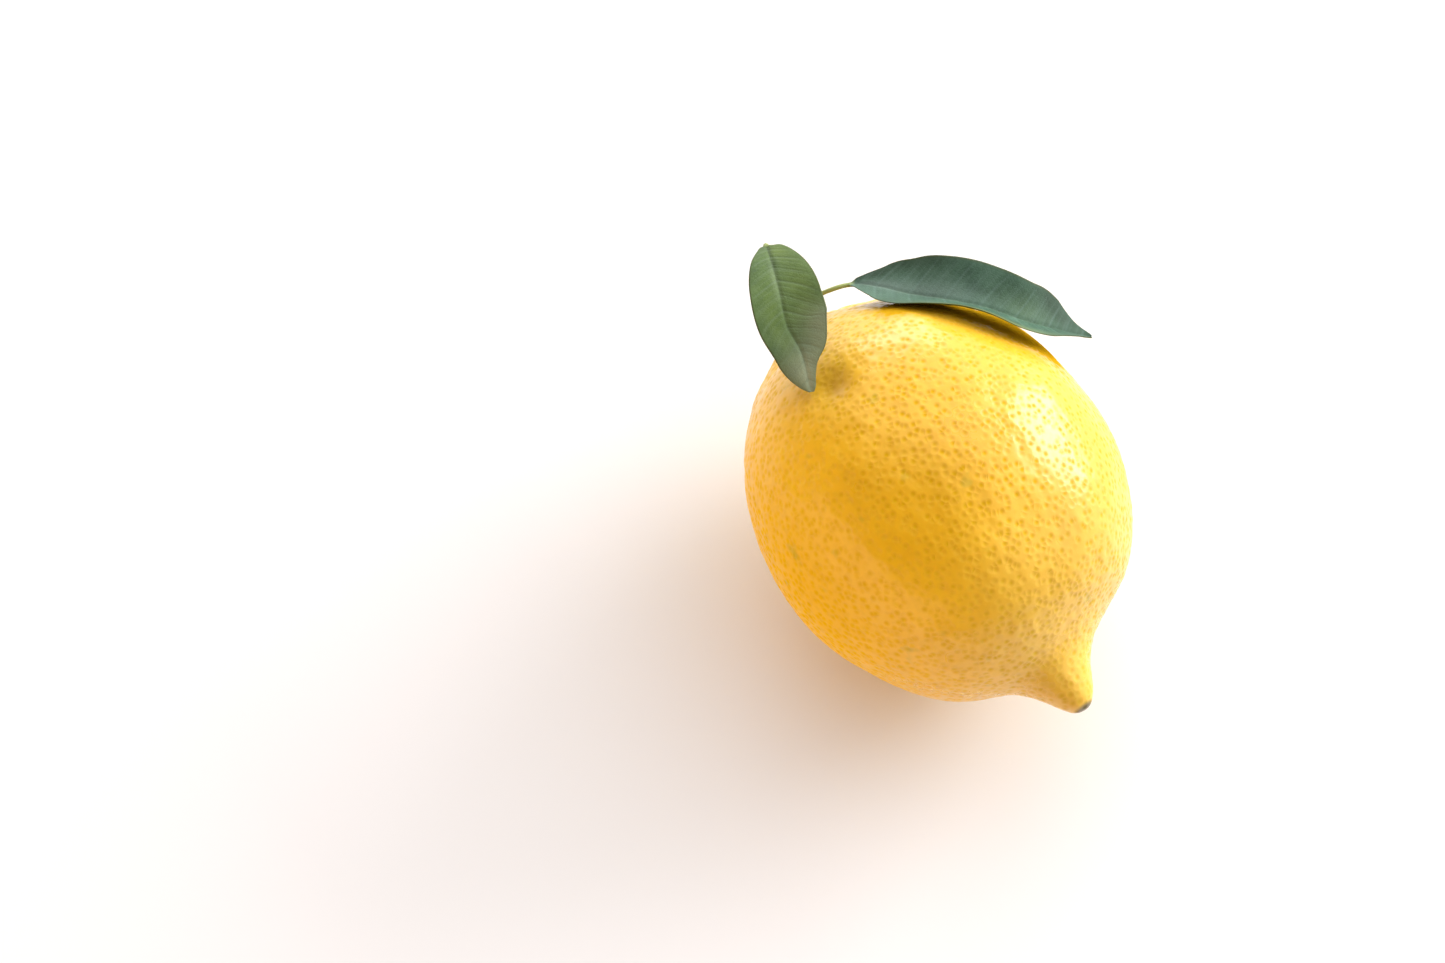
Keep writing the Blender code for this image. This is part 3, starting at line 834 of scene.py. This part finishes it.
def leaf_piece(name, leaf):
    """A leaf as one closed tube along its stalk and midrib, with what its finish reads.

    The upper face looks along face, which turns evenly from the base to the tip and is kept
    square to the midrib. Smooth waves lift the margins by the square of the way across.
    """
    stalk = leaf["stalk_length"] + (STALK_SINK + LEAF_CLEARANCE + leaf["stalk_radius"])
    blade = leaf["blade_length"]
    on_stalk = np.linspace(0.0, stalk, STALK_ROWS, endpoint=False)
    on_blade = stalk + blade * np.linspace(0.0, 1.0, LEAF_ROWS) ** TIP_CROWDING
    distances = np.concatenate((on_stalk, on_blade))
    centre = leaf_centre(leaf, distances)
    tangent = unit(np.gradient(centre, axis=0))
    share = np.clip((distances - stalk) / blade, 0.0, 1.0)
    face = np.outer(1.0 - share, leaf["face_at_base"]) + np.outer(share, leaf["face_at_tip"])
    face = unit(face - tangent * np.sum(face * tangent, axis=1, keepdims=True))
    side = np.cross(tangent, face)
    flat = np.clip(share / BLADE_START, 0.0, 1.0)[:, None] ** 2
    rib = (leaf["stalk_radius"] + (MIDRIB_TIP_RADIUS - leaf["stalk_radius"]) * share)[:, None]
    rib = rib * (1.0 + STALK_FOOT["swell"] * bell(distances, STALK_FOOT["length"])[:, None])

    skins, veins = {}, {}
    for half, sign in (("left", -1.0), ("right", 1.0)):
        out, top, low, veins[half] = half_blade(leaf, half, distances - stalk, share, flat, rib)
        base = centre[:, None] + sign * out[..., None] * side[:, None]
        skins[half] = (base + top[..., None] * face[:, None], base + low[..., None] * face[:, None])
    (left_top, left_low), (right_top, right_low) = skins["left"], skins["right"]
    rings = join_halves(left_top, right_top, right_low, left_low)

    shape = rings.shape[:2]
    steps = np.linspace(0.0, 1.0, HALF_COLUMNS)[None]
    across = np.broadcast_to(join_halves(-steps, steps, steps, -steps), shape)
    along = np.broadcast_to(share[:, None], shape)
    wave_height, *wave_draw = MARGIN_WAVE
    wave = wave_height * lumps(rings, *wave_draw) * flat * across**2
    rings = rings + wave[..., None] * face[:, None]
    values = {tone: patch_tone(patches, along, across) for tone, patches in leaf["patches"].items()}
    values["across"] = across
    values["upper"] = np.broadcast_to(np.arange(shape[1]) < 2 * HALF_COLUMNS - 1, shape) * 1.0
    values["veins"] = join_halves(veins["left"], veins["right"], veins["right"], veins["left"])
    values["blade"] = np.broadcast_to(flat, shape)
    return tube_mesh(name, rings, values)


def leaf_finish(name, greens):
    """Waxy green in blotches, painted sheen, painted shade and warm patches partly of painted bounce light,
    with paler side veins, a painted shaded rim and a paler underside.
    """
    made, tree, shader = new_finish(name, IOR=1.45, Specular_IOR_Level=0.11)
    place = own_place(tree)
    blotches = noise(tree, place, 260.0, 5.0, 0.65)
    colour = ramp(
        tree,
        blotches,
        ((0.30, greens["dark_blotch_and_shade"]), (0.50, greens["base"]), (0.72, greens["light"])),
    )
    # Painted sheen: paler, greyer patches where the blade would catch the light.
    colour = tint(tree, times(tree, mark(tree, "painted_sheen"), 0.75), colour, greens["painted_sheen"])
    # Warm yellow-green patches, in part painted warm light bounced from the peel.
    colour = tint(tree, times(tree, mark(tree, "warm_green_and_bounce"), 0.60), colour, greens["warm_green_and_bounce"])
    # Painted shade: darker patches where the blade turns away from the light.
    colour = tint(tree, times(tree, mark(tree, "dark_blotch_and_shade"), 0.60), colour, SHADED_GREEN)
    colour = tint(tree, times(tree, mark(tree, "veins"), 0.28), colour, greens["vein"])
    across = unsigned(tree, mark(tree, "across"))
    colour = tint(tree, times(tree, spread(tree, across, 0.060, 0.015), 0.22), colour, MIDRIB_GREEN)
    # Painted shade: a dark rim along the margin, where the blade's edge lies in shade.
    colour = tint(tree, times(tree, spread(tree, across, 0.93, 0.985), 0.60), colour, RIM_SHADE_GREEN)
    underside = tint(tree, blotches, *UNDERSIDE_GREENS)
    colour = tint(tree, mark(tree, "upper"), underside, colour)
    colour = tint(tree, mark(tree, "blade"), STALK_GREEN, colour)
    tree.links.new(colour, shader.inputs["Base Color"])

    cells = {"Vector": place, "Scale": 1500.0}
    net = add_node(tree, "ShaderNodeTexVoronoi", cells, feature="DISTANCE_TO_EDGE").outputs["Distance"]
    net_height = times(tree, spread(tree, net, 0.0, 0.12), 0.5)
    vein_height = times(tree, mark(tree, "veins"), -0.8)
    roughen(tree, shader, plus(tree, net_height, vein_height), 0.00005, 0.7)
    tree.links.new(spread(tree, blotches, 0.3, 0.7, 0.42, 0.52), shader.inputs["Roughness"])
    return made


for leaf_name, leaf in LEAVES.items():
    blade = leaf_piece(leaf_name + "_blade", leaf)
    blade.data.materials.append(leaf_finish(leaf_name + "_green", leaf["greens"]))
    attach(blade, "root")
    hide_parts(leaf_name)

# ---------------------------------------------------------------------------------------------
# The table: a plain white board with a faint, broad unevenness in its white. The fruit lies on
# it, but it isn't a part of the object.

TABLE_SIZE = 6.0
TABLE_TONES = ((0.3, (0.88, 0.90, 0.93)), (0.7, (0.91, 0.93, 0.96)))

bpy.ops.mesh.primitive_plane_add(size=TABLE_SIZE, location=(0.0, 0.0, 0.0))
table = bpy.context.object
table.name = "white_table"
table_white, table_tree, table_shader = new_finish("table_white", Roughness=0.9, Specular_IOR_Level=0.2)
table_grain = noise(table_tree, own_place(table_tree), 0.5, 2.0)
table_tree.links.new(ramp(table_tree, table_grain, TABLE_TONES), table_shader.inputs["Base Color"])
table.data.materials.append(table_white)

# ---------------------------------------------------------------------------------------------
# The light: a white room, brighter on the far leaf's side. A softbox on that side makes the
# broad gloss on the peel, one past the stem end lights the shoulder, and a warm one fills the
# dim side.

# Name, way there from the fruit, distance, size, power and colour.
SOFTBOXES = (
    ("side_softbox", (0.05, 0.97, 0.25), 0.75, (0.48, 0.42), 6.6, (1.0, 1.0, 1.0)),
    ("back_softbox", (-0.85, 0.50, 0.10), 0.80, (0.55, 0.28), 2.3, (1.0, 1.0, 1.0)),
    ("warm_softbox", (0.12, -0.97, 0.21), 0.85, (1.20, 0.50), 4.4, (1.0, 0.63, 0.36)),
)
# The room grows bright towards one side, and overhead only a share of that is left.
BRIGHT_SIDE = {"way": (-0.27, 0.84, 0.47), "reach": (-0.40, 1.0), "strength": (0.03, 1.96)}
DIM_OVERHEAD = {"way": (0.20, -0.15, 0.97), "reach": (0.65, 1.0), "strength": (1.0, 0.47)}
# Away from the bright side the room's white turns warm.
WARM_REACH = (-0.10, 0.55)
WARM_WHITE = (1.0, 0.66, 0.50, 1.0)
PURE_WHITE = (1.0, 1.0, 1.0, 1.0)


def towards(tree, way):
    """Cosine of the angle to this way: 1 straight that way, and below 0 behind."""
    way_out = add_node(tree, "ShaderNodeTexCoord", {}).outputs["Generated"]
    angle_cosine = add_node(tree, "ShaderNodeVectorMath", {0: way_out, 1: way}, operation="DOT_PRODUCT")
    return angle_cosine.outputs["Value"]


lit_point = Vector((0.0, 0.0, AXIS_HEIGHT))
for lamp_name, direction, distance, size, power, glow in SOFTBOXES:
    lamp = bpy.data.lights.new(lamp_name, "AREA")
    lamp.shape = "RECTANGLE"
    lamp.size, lamp.size_y = size
    lamp.energy = power
    lamp.color = glow
    holder = bpy.data.objects.new(lamp_name, lamp)
    way = Vector(direction).normalized()
    holder.location = lit_point + distance * way
    holder.rotation_euler = way.to_track_quat("Z", "Y").to_euler()
    holder.visible_camera = False
    bpy.context.scene.collection.objects.link(holder)

world = bpy.data.worlds.new("white_room")
world.use_nodes = True
room = world.node_tree
background = room.nodes["Background"]
to_bright = towards(room, BRIGHT_SIDE["way"])
to_dim = towards(room, DIM_OVERHEAD["way"])
strength = times(
    room,
    spread(room, to_bright, *BRIGHT_SIDE["reach"], *BRIGHT_SIDE["strength"]),
    spread(room, to_dim, *DIM_OVERHEAD["reach"], *DIM_OVERHEAD["strength"]),
)
room.links.new(strength, background.inputs["Strength"])
room_white = tint(room, spread(room, to_bright, *WARM_REACH), WARM_WHITE, PURE_WHITE)
room.links.new(room_white, background.inputs["Color"])
bpy.context.scene.world = world
bpy.context.scene.view_settings.view_transform = "Standard"

# ---------------------------------------------------------------------------------------------
# The camera looks down past the lemon's nipple, from the side away from the far leaf. The fruit
# stands a little to the right of the middle of its view.

CAMERA_AZIMUTH = np.radians(52.96)
CAMERA_ELEVATION = np.radians(75.0)
CAMERA_DISTANCE = 0.5844
LENS = 85.0
SENSOR = 36.0
# Slopes of the line from the camera to the fruit, right and up from the middle of its view.
FRUIT_OFF_MIDDLE = (0.0629, -0.0048)

sine, cosine = np.sin(CAMERA_AZIMUTH), np.cos(CAMERA_AZIMUTH)
rise, level = np.sin(CAMERA_ELEVATION), np.cos(CAMERA_ELEVATION)
right = Vector((cosine, sine, 0.0))
back = Vector((sine * level, -cosine * level, rise))
up = back.cross(right)
straight = Matrix((right, up, back)).transposed()
to_fruit = Vector((*FRUIT_OFF_MIDDLE, -1.0)).normalized()
turned = (straight @ to_fruit).rotation_difference(-back).to_matrix() @ straight
view = bpy.data.cameras.new("view")
view.lens = LENS
view.sensor_width = SENSOR
camera = bpy.data.objects.new("view", view)
camera.matrix_world = Matrix.Translation(lit_point + CAMERA_DISTANCE * back) @ turned.to_4x4()
bpy.context.scene.collection.objects.link(camera)
bpy.context.scene.camera = camera
